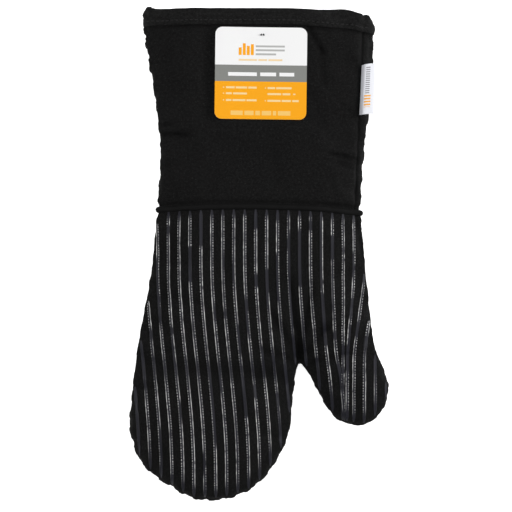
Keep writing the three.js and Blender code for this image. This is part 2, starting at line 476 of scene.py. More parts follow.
# creases of the grip side in millimetres: from, to, half width, depth
frontCreases = [
    ((29, -77), (22, -18), 3.0, 2.4), ((29, -77), (38, -24), 2.6, 2.4), ((28, -76), (8, -42), 3.0, 2.0),
    ((30, -76), (54, -48), 2.6, 1.6), ((30, -78), (28, -50), 2.4, 2.0), ((-80, -80), (16, -88), 7, 1.5),
    ((26, -78), (-2, -68), 3.2, 1.6), ((70, 24), (82, -40), 2.0, 1.8), ((36, -80), (66, -74), 3.0, 1.2),
    ((60, -70), (84, -58), 4, 0.8), ((-76, 87), (-48, 85), 1.6, 2.2), ((-74, 92), (-60, 94), 1.8, 1.4),
    ((50, 72), (70, 68), 1.6, 2.2), ((56, 66), (68, 62), 1.5, 1.4), ((-60, 40), (-66, 70), 3, 0.6),
    ((34, 166), (47, 144), 1.7, 2.0), ((44, 150), (47, 120), 2.4, 1.1), ((36, 118), (50, 84), 3, 0.5),
    ((-66, 150), (-60, 110), 4, 0.6), ((8, 90), (14, 46), 5, 0.5), ((-30, 60), (-36, 38), 4, 0.5),
    ((50, 60), (56, 38), 3, 0.6), ((-40, 84), (20, 70), 6, 0.5), ((-20, 20), (-30, -50), 5, 0.7),
    ((-60, 10), (-74, -60), 4, 0.7), ((-50, -100), (-70, -150), 5, 0.8), ((-10, -100), (-20, -150), 5, 0.8),
    ((60, -90), (74, -116), 4, 0.8),
]


def creaseDepth(x, y):
    total = 0.0
    for start, end, width, depth in frontCreases:
        a, b = Vector(start) * mm, Vector(end) * mm
        along = (Vector((x, y)) - a).dot(b - a) / (b - a).length_squared
        away = (Vector((x, y)) - a - (b - a) * min(max(along, 0), 1)).length / (width * mm)
        fade = smooth(-0.25, 0.15, along) * (1 - smooth(0.8, 1.2, along))
        total += depth * mm * math.exp(-away * away) * fade
    return total


def sideSeamX(y):  # the cuff's side seam has crept round to the front, near the right edge
    return (69.3 + (y / mm - 39) * 0.047) * mm


def mouthSag(x):  # how far the mouth's edge has moved along the cuff
    xm = x / mm
    sag = -2.8 + 2.6 * bump(xm, -84, 7) - 0.9 * smooth(20, 45, xm) + 0.9 * bump(xm, 59, 9)
    return (sag - 3.6 * smooth(62, 80, xm)) * mm


def hemSag(x):  # the same for the hem's lower edge
    xm = x / mm
    return (-0.5 - 2.6 * smooth(20, 60, xm) - 2.8 * smooth(62, 82, xm)) * mm


def cuffShift(x, y):
    if y > hemY:
        share = (y - hemY) / (mouthY - hemY)
        return hemSag(x) * (1 - share) + mouthSag(x) * share
    return hemSag(x) * smooth(118 * mm, hemY, y)


def weltBow(x, y):  # the welt arches a little
    t = x / (72 * mm)
    return (1.5 - 2.7 * t * t - 0.9 * t) * mm * bump(y, weltY, 26 * mm)


def settled(co, normal):
    inward, out, along = edgeOf(co.x, co.y)
    rim = 1 - smooth(1 * mm, 9 * mm, inward)
    isFront = smooth(midZ - 3 * mm, midZ + 4 * mm, co.z)
    onCuff = smooth(weltY, weltY + 12 * mm, co.y)
    p = co.copy()
    # puckers where the seam gathers the cloth
    ripple = math.sin(along / settleShape["scallopPitch"] * 2 * math.pi + 2 * noise.noise(co * 18))
    strength = 0.35 + 0.65 * smooth(-0.1, 0.5, noise.noise(co * 9 + Vector((3, 1, 7))))
    # broad waves of the padding
    wave = noise.noise(Vector((co.x, co.y, 0.3)) * 26) + 0.5 * noise.noise(Vector((co.x, co.y, 0.7)) * 60)
    crumple = noise.noise(Vector((co.x * 1.6 + 3, co.y * 0.8, co.z)) * 95)
    crumple *= (1 + 0.8 * (1 - onCuff)) * (1 - 0.85 * rim)
    strength *= 1 - 0.8 * (1 - smooth(10, 26, co.y / mm)) * smooth(-96, -76, co.y / mm)
    strength *= 1 + 0.1 * onCuff
    p += out * (settleShape["scallop"] * ripple * strength + settleShape["rimOut"]) * rim
    p += normal * (settleShape["billow"] * wave * (1 - rim) + settleShape["crumple"] * crumple)
    p.z -= creaseDepth(co.x, co.y) * isFront * smooth(0, 5 * mm, inward)
    # seams: round the hand's rim, and along the cuff's front
    groove = bump(co.z, midZ, 1.1 * mm) * rim * (1 - onCuff * smooth(0, 20 * mm, co.x))
    groove += 1.6 * bump(co.x, sideSeamX(co.y), 1.4 * mm) * isFront * onCuff
    p -= normal * settleShape["seamGroove"] * groove
    p.z += settleShape["seamRoll"] * bump(co.x, sideSeamX(co.y) - 3 * mm, 8 * mm) * isFront * onCuff
    p -= normal * settleShape["weltPinch"] * bump(co.y, weltY, 4.5 * mm)
    p -= normal * 0.5 * mm * (bump(co.y, weltY + 3.4 * mm, 1.3 * mm) + bump(co.y, hemY - 0.9 * mm, 1.0 * mm))
    p.y += cuffShift(co.x, co.y) + weltBow(co.x, co.y)
    p.z = midZ + (p.z - midZ) * settleShape["crown"] if p.z > midZ else p.z
    beside = max(abs(co.x - cardMiddle.x) - 33 * mm, abs(co.y - cardMiddle.y) - 34 * mm)
    under = 1 - smooth(0, 7 * mm, beside)
    p.z -= max(p.z - settleShape["cardPress"], 0) * under * isFront
    besideCard = bump(co.x, cardMiddle.x - 38 * mm, 5 * mm)
    besideCard *= 1 - smooth(30 * mm, 39 * mm, abs(co.y - cardMiddle.y))
    p.z -= 1.5 * mm * besideCard * isFront
    soft = settleShape["floorSoft"]
    p.z = soft * math.log1p(math.exp(min((p.z - 0.1 * mm) / soft, 60)))
    p.z += settleShape["beadLift"] * (1 - onCuff) * bump(p.z, 0, 3 * mm)
    return p


def seamAway(co):  # signed distance from the nearest sewn seam: round the rim, and up the cuff's front; the cloth materials paint a line of shade along it
    if co.y > weltY - 1e-5 and co.x > 30 * mm:
        return min(sideSeamX(co.y) - co.x, 20 * mm) if co.z > midZ else -8 * mm
    return min(max(co.z - midZ, -8 * mm), 8 * mm)


def clothPlace(co, normal):  # where the point was on the flat cloth, unrolled over the edge
    inward, out, along = edgeOf(co.x, co.y)
    tilt = math.acos(min(abs(normal.z), 1))
    unrolled = 9 * mm * (tilt - math.sin(tilt)) * (1 - smooth(4 * mm, 16 * mm, inward))
    return co + out * unrolled


hemRegion, cuffRegion, handRegion, thumbRegion = range(4)


def pastFold(place):  # on the thumb's side of its fold
    return (place.xy - crotch).dot(foldDown.xy) > 0 and place.x > crotch.x - 4 * mm


def regionOf(co):
    if co.y > hemY:
        return hemRegion
    if co.y > weltY:
        return cuffRegion
    return thumbRegion if pastFold(co) else handRegion


def cutBlown(blown, detail, sunk=0.0):  # the whole skin, or the lining sunk inside it, cut into regions
    source = blown
    if detail:
        finer = blown.modifiers.new("finer", "SUBSURF")
        finer.levels = finer.render_levels = 1
        source = frozen(blown, "fine")
        blown.modifiers.remove(finer)
    bm = bmesh.new()
    bm.from_mesh(source.data)
    if detail:
        discard(source)
    if sunk:
        bm.normal_update()
        for v in bm.verts:
            v.co -= v.normal * sunk
        for step in range(3):
            bmesh.ops.smooth_vert(
                bm, verts=bm.verts, factor=0.5, use_axis_x=True, use_axis_y=True, use_axis_z=True
            )
    cuts = [((0, y, 0), (0, 1, 0)) for y in (mouthY, hemY, weltY)] + [(foldPoint, foldDown)]
    for number, (place, facing) in enumerate(cuts):
        cutPlane(bm, place, facing, dist=1e-6, clear_outer=number == 0)
    bm.normal_update()
    for face in bm.faces:
        face.material_index = regionOf(face.calc_center_median())
        face.smooth = True
    cloth = bm.loops.layers.uv.new("cloth")
    flat = {v: clothPlace(v.co, v.normal) for v in bm.verts}
    for face in bm.faces:
        for loop in face.loops:
            loop[cloth].uv = flat[loop.vert].xy
    seam, fold = bm.verts.layers.float.new("seamAway"), bm.verts.layers.float.new("fold")
    for v in bm.verts:
        v[seam] = seamAway(v.co)
        # the fold attribute is painted shade: darkening in the grip side's creases, just below the hem's
        # lower edge and just above the welt
        depth = creaseDepth(v.co.x, v.co.y) / (2 * mm) if v.co.z > midZ else 0
        tucked = 1.3 * bump(v.co.y, hemY - 1.1 * mm, 1.5 * mm) + bump(v.co.y, weltY + 3.8 * mm, 1.2 * mm)
        v[fold] = min(depth + tucked, 1)
    moved = {v: settled(v.co, v.normal) for v in bm.verts}
    for v, place in moved.items():
        v.co = place
    bm.normal_update()
    return bm


def takeRegions(bm, regions):
    part = bm.copy()
    unwanted = [f for f in part.faces if f.material_index not in regions]
    bmesh.ops.delete(part, geom=unwanted, context="FACES")
    for face in part.faces:
        face.material_index = 0
    return part


def giveWall(piece, thickness):
    wall = piece.modifiers.new("wall", "SOLIDIFY")
    wall.thickness = thickness
    wall.offset = -1
    name = piece.name
    made = frozen(piece, name + "_walled")
    discard(piece)
    made.name = made.data.name = name
    made.data.set_sharp_from_angle(angle=math.radians(60))
    return made


def walkLoop(edges):  # the vertices of a closed run of edges, in order
    follow = {}
    for edge in edges:
        for v in edge.verts:
            follow.setdefault(v, []).append(edge)
    start = min(follow, key=lambda v: v.co.x)
    loop, last, v = [start], None, start
    while True:
        edge = [e for e in follow[v] if e is not last][0]
        v, last = edge.other_vert(v), edge
        if v is start:
            return loop
        loop.append(v)


blown = blowUp(addStartForm())
skin = cutBlown(blown, True)
skinTree = BVHTree.FromBMesh(skin)
print("skin settled", len(skin.verts), "vertices")

# covers: the twill shells, which also stand in for the batting behind them
coverShape = {"wall": 0.8 * mm, "liningDepth": 4.4 * mm, "liningWall": 0.7 * mm}


def bendPiece(piece, region):
    if region == cuffRegion:
        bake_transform(piece)
    elif region == handRegion:
        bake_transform(piece)
    else:
        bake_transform(piece)


def nodeNames(stands, layers):
    return [f"{n}_{side}_{layer}" for n in stands for side in ("front", "back") for layer in layers]


def addLayer(bm, kind, wall, materials, layers):  # a cover or lining for each region
    for name, region, stands in [
        ("cuff", cuffRegion, ("cuff",)),
        ("hand", handRegion, ("palm", "fingers")),
        ("thumb", thumbRegion, ("thumb",)),
    ]:
        reachesMouth = kind == "cover" and region == cuffRegion
        regions = (region, hemRegion) if reachesMouth else (region,)
        piece = giveWall(keepMesh(f"{name}_{kind}", takeRegions(bm, regions)), wall)
        piece.data.materials.append(materials[region])
        bendPiece(piece, region)
        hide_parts(*nodeNames(stands, layers))


def addCovers():
    materials = {cuffRegion: twill, handRegion: gripTwill, thumbRegion: gripTwill}
    addLayer(skin, "cover", coverShape["wall"], materials, ("shell", "batting"))


def addLinings():
    inside = cutBlown(blown, False, sunk=coverShape["liningDepth"])
    materials = dict.fromkeys((cuffRegion, handRegion, thumbRegion), liningFleece)
    addLayer(inside, "lining", coverShape["liningWall"], materials, ("lining",))
    inside.free()


# the turned hem round the mouth
hemShape = {
    "proud": 0.75 * mm,
    # up from the mouth and inwards, in millimetres
    "fold": [(0.8, 0.7), (1.1, 2.3), (0.8, 3.9), (0, 4.7), (-4, 5.2), (-9, 5.3), (-12, 5.2)],
    "wall": 0.6 * mm,
    "lowest": 0.02 * mm,
}


def addHem():
    bm = takeRegions(skin, (hemRegion,))
    bm.normal_update()
    for v in bm.verts:
        v.co += v.normal * hemShape["proud"]
        v.co.z = max(v.co.z, hemShape["lowest"])
    mouthEdges = [e for e in bm.edges if e.is_boundary and min(v.co.y for v in e.verts) > (hemY + mouthY) / 2]
    ring = {v for e in mouthEdges for v in e.verts}
    bases = {v: (v.co.copy(), Vector((v.normal.x, 0, v.normal.z)).normalized()) for v in ring}
    cloth = bm.loops.layers.uv["cloth"]
    edges = mouthEdges
    for rise, inwards in hemShape["fold"]:
        grown = bmesh.ops.extrude_edge_only(bm, edges=edges)["geom"]
        newBases = {}
        for v in [g for g in grown if isinstance(g, bmesh.types.BMVert)]:
            below = [e.other_vert(v) for e in v.link_edges if e.other_vert(v) in bases][0]
            base, facing = bases[below]
            v.co = base - facing * inwards * mm + Vector((0, rise * mm, 0))
            newBases[v] = (base, facing)
        for face in [g for g in grown if isinstance(g, bmesh.types.BMFace)]:
            face.smooth = True
            for loop in face.loops:
                loop[cloth].uv = (loop.vert.co.x, loop.vert.co.y + inwards * mm)
        edges = [
            g for g in grown if isinstance(g, bmesh.types.BMEdge) and all(v in newBases for v in g.verts)
        ]
        bases = newBases
    bmesh.ops.recalc_face_normals(bm, faces=bm.faces)
    upper = [f for f in bm.faces if f.calc_center_median().z > topZ * 0.85]
    if sum(f.normal.z * f.calc_area() for f in upper) < 0:
        bmesh.ops.reverse_faces(bm, faces=bm.faces)
    hem = giveWall(keepMesh("hem_band", bm), hemShape["wall"])
    hem.data.materials.append(trimTwill)
    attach(hem, "cuff")
    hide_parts("cuff_hem")
    return hem


# the welt between cuff and hand: a folded strip swept round the skin
weltShape = {"half": 2.5 * mm, "rise": 2.1 * mm, "knob": 1.0 * mm, "across": 8, "lowest": 0.05 * mm}


def weltRing():
    edges = []
    for edge in skin.edges:
        sides = {f.material_index for f in edge.link_faces}
        if cuffRegion in sides and (handRegion in sides or thumbRegion in sides):
            edges.append(edge)
    return [(v.co.copy(), Vector((v.normal.x, 0, v.normal.z)).normalized()) for v in walkLoop(edges)]


def addWelt():
    ring = weltRing()
    across = weltShape["across"]
    bm = bmesh.new()
    order = gridColumns(bm, len(ring), across + 1)
    for number, v in enumerate(order):
        place, facing = ring[number // (across + 1)]
        share = (number % (across + 1)) / across * 2 - 1
        edge = 1 - smooth(0, 5 * mm, edgeOf(place.x, place.y)[0])
        height = weltShape["rise"] + weltShape["knob"] * edge
        arch = math.sqrt(max(1 - share * share, 0))
        wobble = 0.25 * mm * noise.noise(place * 120)
        v.co = place + facing * (height * arch + (weltShape["rise"] * 0.2 - 0.9 * mm))
        v.co.y += share * weltShape["half"] + wobble - 0.8 * mm * smooth(40 * mm, 76 * mm, place.x)
        v.co.z = max(v.co.z, weltShape["lowest"])
    first, last = order[: across + 1], order[-across - 1:]
    edges = [e for e in bm.edges if all(v in first for v in e.verts) or all(v in last for v in e.verts)]
    bmesh.ops.bridge_loops(bm, edges=edges)
    bmesh.ops.bridge_loops(bm, edges=[e for e in bm.edges if e.is_boundary])
    bmesh.ops.recalc_face_normals(bm, faces=bm.faces)
    clothUv(bm)
    welt = keepMesh("welt_band", bm)
    welt.data.materials.append(weltTwill)
    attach(welt, "hand")
    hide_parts("front_welt", "back_welt")


def clothUv(bm):
    cloth = bm.loops.layers.uv.verify()
    for face in bm.faces:
        for loop in face.loops:
            loop[cloth].uv = loop.vert.co.xy


# silicone stripes: raised beads that follow the cloth
stripeShape = {
    "pitch": 7.87 * mm,
    "first": -96.8 * mm,
    "count": 26,
    "half": 1.4 * mm,
    "step": 2.0 * mm,
    # half of the bead's section, mirrored: out as a share, up in millimetres
    "section": [(-1, -0.15), (-0.86, 0.2), (-0.62, 0.5), (-0.28, 0.34), (0, 0.3)],
    "stop": 1.0 * mm,  # in from the outline
    "wall": 0.35 * mm,
    "lowest": 0.03 * mm,  # clear of the floor
    "fewest": 7,  # points in the shortest run
    "underStrand": 40,  # the beads underneath are numbered from here
    "fingersDrift": 10.6 * mm,
    "thumbDrift": -8.2 * mm,
}


def stripeX(start, y):  # the print swings with the fingers left of the crotch and the thumb right of it
    if start < crotch.x:
        pulled = 1 - 0.55 * bump(start, crotch.x, 13 * mm) * smooth(-92 * mm, -66 * mm, y)
        swing = stripeShape["fingersDrift"] * smooth(0, 1, (-5 * mm - y) / (150 * mm))
        return start + swing * pulled
    held = 1 - bump(start, crotch.x, 9 * mm)
    return start + stripeShape["thumbDrift"] * smooth(0, 1, (-8 * mm - y) / (74 * mm)) * held


def dropOnto(tree, x, y, fromAbove):  # where a line straight down, or up, meets a surface, and its normal
    side = 1 if fromAbove else -1
    return tree.ray_cast(Vector((x, y, 0.2 * side)), Vector((0, 0, -side)))[:2]


def stripeRuns(start):  # the stretches of one stripe that lie on the mitt
    runs, run = [], []
    y = weltY - weltShape["half"] * 0.6 + weltBow(start, weltY)
    while y > tipY - 2 * mm:
        x = stripeX(start, y)
        if edgeOf(x, y)[0] > stripeShape["stop"] and abs(x) < 0.1:
            run.append((x, y))
        elif run:
            runs.append(run)
            run = []
        y -= 1.0 * mm
    return [run for run in runs + [run] if len(run) > stripeShape["fewest"]]


def resample(points, step):
    lengths = [0.0]
    for a, b in zip(points, points[1:]):
        lengths.append(lengths[-1] + (b - a).length)
    count = max(2, round(lengths[-1] / step))
    result, i = [], 0
    for k in range(count + 1):
        want = lengths[-1] * k / count
        while i < len(points) - 2 and lengths[i + 1] < want:
            i += 1
        share = (want - lengths[i]) / max(lengths[i + 1] - lengths[i], 1e-9)
        result.append(points[i].lerp(points[i + 1], min(max(share, 0), 1)))
    return result


def paintedHighlightPatch(co, strand):  # painted highlight along the bead's two lips, where light would catch them: patchy, and dull in the folds
    patch = noise.noise(Vector((strand * 3.7, co.y * 50 + strand * 1.9, 0.5)))
    patch += 0.45 * noise.noise(Vector((strand * 5.1, co.y * 140, 2.5)))
    patch += 0.18 * (1 - smooth(-50, 10, co.x / mm)) - 0.1 * bump(co.x / mm, 22, 24)
    patch = smooth(-0.34, -0.24, patch) * smooth(6, 9, (weltY + weltBow(co.x, weltY) - co.y) / mm)
    inward, out, along = edgeOf(co.x, co.y)
    if co.y < -60 * mm:
        patch *= smooth(6, 13, inward / mm)
    patch *= 1 - 0.9 * bump(co.y, -84 * mm, 9 * mm) * (1 - smooth(20 * mm, 34 * mm, co.x))
    patch *= 1 - 0.7 * bump(co.x, 24 * mm, 13 * mm) * bump(co.y, -66 * mm, 18 * mm)
    return patch * (1 - 0.6 * min(creaseDepth(co.x, co.y) / (2 * mm), 1))


# painted highlight for each lip: the shared patches, split so that some stretches catch it on one lip only
def paintedLipHighlights(co, strand):
    both = paintedHighlightPatch(co, strand)
    single = noise.noise(Vector((strand * 2.3 + 9, co.y * 26, 4.5)))
    grain = 0.75 + 0.6 * noise.noise(Vector((strand, co.y * 300, 7.5)))
    return both * smooth(-0.5, -0.38, single) * grain, both * smooth(-0.5, -0.38, -single) * grain


def beadSection(points, normals, i, taper):  # the bead's cross-section at one point, laid on the cloth
    ahead = points[min(i + 1, len(points) - 1)] - points[max(i - 1, 0)]
    side = ahead.cross(normals[i]).normalized()
    half = stripeShape["section"]
    places = []
    for share, height in half + [(-share, height) for share, height in reversed(half[:-1])]:
        target = points[i] + side * share * stripeShape["half"] * taper
        hit, normal, index, away = skinTree.find_nearest(target)
        place = hit + normal * height * mm * taper
        place.z = max(place.z, stripeShape["lowest"])
        places.append(place)
    return places


def addStripe(bm, points, sections, strand, travel):
    across = len(sections[0])
    order = gridColumns(bm, len(points), across)
    bead, sheen = bm.loops.layers.uv["bead"], bm.verts.layers.float_vector["sheen"]
    dotLeft = 1.0 if math.sin(strand * 2.4) > 0 else 0.0
    place = {}
    for number, v in enumerate(order):
        i, j = divmod(number, across)
        v.co = sections[i][j]
        # painted lip highlights, carried to the silicone material in the sheen attribute
        left, right = paintedLipHighlights(points[i], strand)
        v[sheen] = (left, right, dotLeft)
        place[v] = (j / (across - 1), travel[i])
    for face in {f for v in order for f in v.link_faces}:
        for loop in face.loops:
            loop[bead].uv = place[loop.vert]


def stripeParts(points):  # the path shared out: which piece it lies on, first and last point
    flags = [pastFold(p) for p in points]
    parts, first = [], 0
    for i in range(1, len(points)):
        if flags[i] != flags[i - 1]:
            parts.append((flags[i - 1], first, i))
            first = i
    parts.append((flags[-1], first, len(points) - 1))
    return [part for part in parts if part[2] > part[1]]


def addStripes():
    pieces = {}
    for fromAbove in (True, False):
        for strand in range(stripeShape["count"]):
            number = strand + (0 if fromAbove else stripeShape["underStrand"])
            for run in stripeRuns(stripeShape["first"] + strand * stripeShape["pitch"]):
                hits = [h for h in (dropOnto(skinTree, x, y, fromAbove)[0] for x, y in run) if h is not None]
                if len(hits) < 6:
                    continue
                points = resample(hits, stripeShape["step"])
                normals = [skinTree.find_nearest(p)[1] for p in points]
                last = len(points) - 1
                tapers = [min(1, 0.4 + 0.3 * min(i, last - i)) for i in range(last + 1)]
                sections = [beadSection(points, normals, i, tapers[i]) for i in range(last + 1)]
                travel = [i * stripeShape["step"] + number * 0.731 for i in range(last + 1)]
                for isThumb, first, end in stripeParts(points):
                    key = ("thumb" if isThumb else "hand") + ("_front" if fromAbove else "_back") + "_stripes"
                    if key not in pieces:
                        pieces[key] = bmesh.new()
                        pieces[key].loops.layers.uv.new("bead")
                        pieces[key].verts.layers.float_vector.new("sheen")
                    span = slice(first, end + 1)
                    addStripe(pieces[key], points[span], sections[span], number, travel[span])
    for name, bm in pieces.items():
        bmesh.ops.recalc_face_normals(bm, faces=bm.faces)
        bm.normal_update()
        piece = keepMesh(name, bm)
        facing = sum(p.normal.z for p in piece.data.polygons) / len(piece.data.polygons)
        if (facing > 0) != ("front" in name):
            piece.data.flip_normals()
        piece = giveWall(piece, stripeShape["wall"])
        piece.data.materials.append(siliconeBead)
        bendPiece(piece, thumbRegion if "thumb" in name else handRegion)


# cloth and silicone
def makeTwillGroup():  # diagonal ribs of a twill, with the yarns that break them up
    group = bpy.data.node_groups.new("twillWeave", "ShaderNodeTree")
    group.interface.new_socket("Cloth", in_out="INPUT", socket_type="NodeSocketVector")
    group.interface.new_socket("Rib Pitch", in_out="INPUT", socket_type="NodeSocketFloat")
    group.interface.new_socket("Height", in_out="OUTPUT", socket_type="NodeSocketFloat")
    group.interface.new_socket("Lint", in_out="OUTPUT", socket_type="NodeSocketFloat")
    given = group.nodes.new("NodeGroupInput")
    result = group.nodes.new("NodeGroupOutput")
    u, v = splitNode(group, given.outputs["Cloth"])[:2]
    turn = mathNode(group, "DIVIDE", 2 * math.pi, given.outputs["Rib Pitch"])
    waver = times(group, noiseNode(group, given.outputs["Cloth"], 900, 1), 2.2)
    slope = mathNode(group, "ADD", u, times(group, v, 0.7))
    rib = mathNode(group, "SINE", mathNode(group, "ADD", times(group, slope, turn), waver))
    cross = less(group, times(group, u, 0.6), v)
    yarn = mathNode(group, "SINE", times(group, cross, times(group, turn, 1.7)))
    height = scaled(group, rib, 0.35, 0.5)
    height = scaled(group, yarn, 0.15, height)
    group.links.new(height, result.inputs["Height"])
    fleck = noiseNode(group, given.outputs["Cloth"], 850, 3, 0.7)
    lint = times(group, less(group, fleck, 0.56), 5, clamp=True)
    group.links.new(lint, result.inputs["Lint"])
    return group


def attributeNode(tree, name):
    node = tree.nodes.new("ShaderNodeAttribute")
    node.attribute_name = name
    return node


def clothMaterial(name, dark, light, pitch, roughness, relief, sewn=False, grain=330):
    material, tree, shader = newMaterial(name)
    cloth = uvNode(tree, "cloth")
    weave = tree.nodes.new("ShaderNodeGroup")
    weave.node_tree = twillWeave
    weave.inputs["Rib Pitch"].default_value = pitch
    tree.links.new(cloth, weave.inputs["Cloth"])
    height = weave.outputs["Height"]
    tone = noiseNode(tree, cloth, grain, 4, 0.8)
    tone = scaled(tree, tone, 3.2, -1.25, clamp=True)
    share = scaled(tree, height, 0.35, times(tree, tone, 0.65))
    colour = mixColour(tree, share, dark, light)
    lintColour = tuple(min(c * 3.2, 1) for c in light)
    colour = mixColour(tree, times(tree, weave.outputs["Lint"], 0.6), colour, lintColour)
    # painted shade: with sewn set, the colour darkens towards a quarter of the dark tone along the seam
    # groove and where the fold attribute marks creases and edges under the hem and welt; the groove is also
    # cut into the bump
    if sewn:
        away = absolute(tree, attributeNode(tree, "seamAway").outputs["Fac"])
        line = less(tree, 1, mathNode(tree, "DIVIDE", away, 1.25 * mm), clamp=True)
        dim = scaled(tree, attributeNode(tree, "fold").outputs["Fac"], 0.62, line, clamp=True)
        colour = mixColour(tree, times(tree, dim, 0.9), colour, tuple(c * 0.25 for c in dark))
        height = less(tree, height, times(tree, line, 5))
    tree.links.new(colour, shader.inputs["Base Color"])
    dullness = scaled(tree, weave.outputs["Height"], -0.1, roughness)
    tree.links.new(dullness, shader.inputs["Roughness"])
    shader.inputs["Specular IOR Level"].default_value = 0.12
    bumpInto(tree, shader, height, relief)
    return material


siliconeLook = {
    "dotPitch": 1.95 * mm,
    "lips": (0.25, 0.75),  # shares of the way across the bead
    # painted highlight: near-white colour laid along the lips where glossy silicone would reflect the lamps
    "paintedHighlight": (0.84, 0.84, 0.83),
    "body": ((0.005, 0.005, 0.008), (0.023, 0.023, 0.032)),
    "rim": (0.004, 0.004, 0.005),
}


def makeSilicone():
    material, tree, shader = newMaterial("siliconeBead")
    across, along = splitNode(tree, uvNode(tree, "bead"))[:2]
    leftShare, rightShare, dotLeft = splitNode(tree, attributeNode(tree, "sheen").outputs["Vector"])
    flat = tree.nodes.new("ShaderNodeCombineXYZ")  # the bead unrolled, in metres
    tree.links.new(times(tree, across, 2 * stripeShape["half"]), flat.inputs[0])
    tree.links.new(along, flat.inputs[1])
    unrolled = flat.outputs[0]
    jitter = scaled(tree, noiseNode(tree, unrolled, 170, 1), 2.6 * mm, along)
    breaks = scaled(tree, noiseNode(tree, unrolled, 430, 2, 0.6), 3.4, -0.85, clamp=True)
    # painted highlights: bright lines along both lips, dotted on one, broken up by noise
    paintedHighlight = None
    for centre, share, dotted in zip(siliconeLook["lips"], (leftShare, rightShare), (1, 0)):
        away = absolute(tree, less(tree, across, centre))
        lip = less(tree, 1.25, times(tree, away, 13), clamp=True)
        dots = mathNode(tree, "SINE", times(tree, jitter, 2 * math.pi / siliconeLook["dotPitch"]))
        dots = scaled(tree, dots, 1.7, 0.5, clamp=True)
        isDotted = absolute(tree, less(tree, dotLeft, 1 - dotted))
        gaps = times(tree, isDotted, less(tree, 1, dots))
        lip = times(tree, lip, less(tree, 1, gaps))
        lip = times(tree, lip, share)
        paintedHighlight = lip if paintedHighlight is None else mathNode(tree, "ADD", paintedHighlight, lip, clamp=True)
    paintedHighlight = times(tree, paintedHighlight, breaks)
    grain = noiseNode(tree, unrolled, 1300, 2, 0.6)
    middle = absolute(tree, less(tree, across, 0.5))
    # dim where the bead runs into the cloth
    rim = scaled(tree, middle, -2.6, 1.35, clamp=True)
    body = mixColour(tree, grain, *siliconeLook["body"])
    body = mixColour(tree, rim, siliconeLook["rim"], body)
    colour = mixColour(tree, paintedHighlight, body, siliconeLook["paintedHighlight"])
    tree.links.new(colour, shader.inputs["Base Color"])
    tree.links.new(scaled(tree, grain, 0.25, 0.4), shader.inputs["Roughness"])
    shader.inputs["Specular IOR Level"].default_value = 0.2
    bumpInto(tree, shader, grain, 0.05 * mm)
    return material


def plainMaterial(name, colour, roughness, specular=0.5):
    material, tree, shader = newMaterial(name)
    shader.inputs["Base Color"].default_value = (*colour, 1)
    shader.inputs["Roughness"].default_value = roughness
    shader.inputs["Specular IOR Level"].default_value = specular
    return material


# the hang tag: a printed card; plain bars stand where it has words
tagShape = {
    "size": (65.8 * mm, 65.9 * mm),
    "drop": 1.5 * mm,  # the card hangs a little below its place in the frame
    "aside": 0.25 * mm,
    "corner": 5 * mm,
    "thick": 0.45 * mm,
    "bands": (27.1 * mm, 38.9 * mm),  # from the top edge: white above, grey between, orange below
    "curl": 0.8 * mm,  # the left edge lifts
    "holes": ((-0.1 * mm, 27.6 * mm), (1.7 * mm, 27.6 * mm)),
    "holeRadius": 0.6 * mm,
}
# rows of bars in millimetres from the card's upper left corner: ink, top, bottom, then left and right of each
tagRows = [
    ("orange", 14.6, 20.0, [(16.8, 18.9)]),
    ("orange", 11.6, 20.0, [(19.7, 21.8)]),
    ("orange", 13.4, 20.0, [(22.6, 24.7)]),
    ("orange", 12.2, 20.0, [(25.5, 27.6)]),
    ("grey", 13.0, 14.3, [(29.0, 49.8)]),
    ("grey", 15.8, 17.1, [(29.0, 49.8)]),
    ("grey", 18.7, 20.0, [(29.0, 43.6)]),
    ("paleOrange", 22.8, 24.1, [(16.8, 30.0), (31.0, 37.2), (38.2, 48.2)]),
    ("white", 32.4, 35.0, [(9.4, 30.0), (32.4, 43.8), (46.2, 56.8)]),
    ("cream", 42.6, 44.0, [(8.0, 14.2), (15.0, 23.2), (24.0, 30.0)]),
    ("cream", 46.9, 48.3, [(8.0, 12.2), (13.2, 23.0)]),
    ("cream", 51.7, 53.1, [(8.0, 12.0), (12.8, 22.0), (22.8, 30.0)]),
    ("cream", 42.8, 44.2, [(37.8, 43.2), (44.0, 55.0)]),
    ("cream", 47.1, 48.5, [(37.8, 47.6), (48.6, 54.2)]),
    ("cream", 47.3, 48.3, [(56.2, 57.8)]),
    ("cream", 51.9, 53.3, [(37.8, 47.2), (48.0, 54.6), (55.6, 60.2)]),
    ("cream", 42.9, 43.7, [(5.9, 6.7)]),
    ("cream", 47.2, 48.0, [(5.9, 6.7)]),
    ("cream", 52.0, 52.8, [(5.9, 6.7)]),
    ("cream", 43.1, 43.9, [(35.9, 36.7)]),
    ("cream", 52.2, 53.0, [(35.9, 36.7)]),
    ("paleCream", 59.9, 63.1, [
        (11.5, 20.2), (21.4, 28.0), (29.2, 32.6), (33.8, 40.6), (41.8, 44.2), (45.4, 54.4),
    ]),
]
tagRight = Vector((-tagAxis.x, -tagAxis.y, 0))
tagUp = Vector((-tagRight.y, tagRight.x, 0))
inkColours = {
    "white": (0.88, 0.88, 0.88),
    "orange": (0.93, 0.385, 0.01),
    "grey": (0.45, 0.45, 0.44),
    "paleOrange": (0.88, 0.66, 0.38),
    "cream": (0.9, 0.68, 0.33),
    "paleCream": (0.9, 0.57, 0.16),
    "band": (0.235, 0.24, 0.225),
}
inks = {name: plainMaterial(name + "Ink", colour, 0.6, 0.1) for name, colour in inkColours.items()}


def onCard(across, up, above):  # from the card's own middle, right and up, to the row frame
    lift = tagShape["curl"] * smooth(0, 1, -across / (tagShape["size"][0] * 0.5)) ** 2
    place = cardMiddle + tagRight * (across + tagShape["aside"]) + tagUp * (up - tagShape["drop"])
    return Vector((place.x, place.y, cardBox[1][2] + lift + above))


def roundOff(bm, corners, radius, segments, affect):
    return bmesh.ops.bevel(
        bm, geom=corners, offset=radius, segments=segments, profile=0.5, affect=affect, material=-1
    )


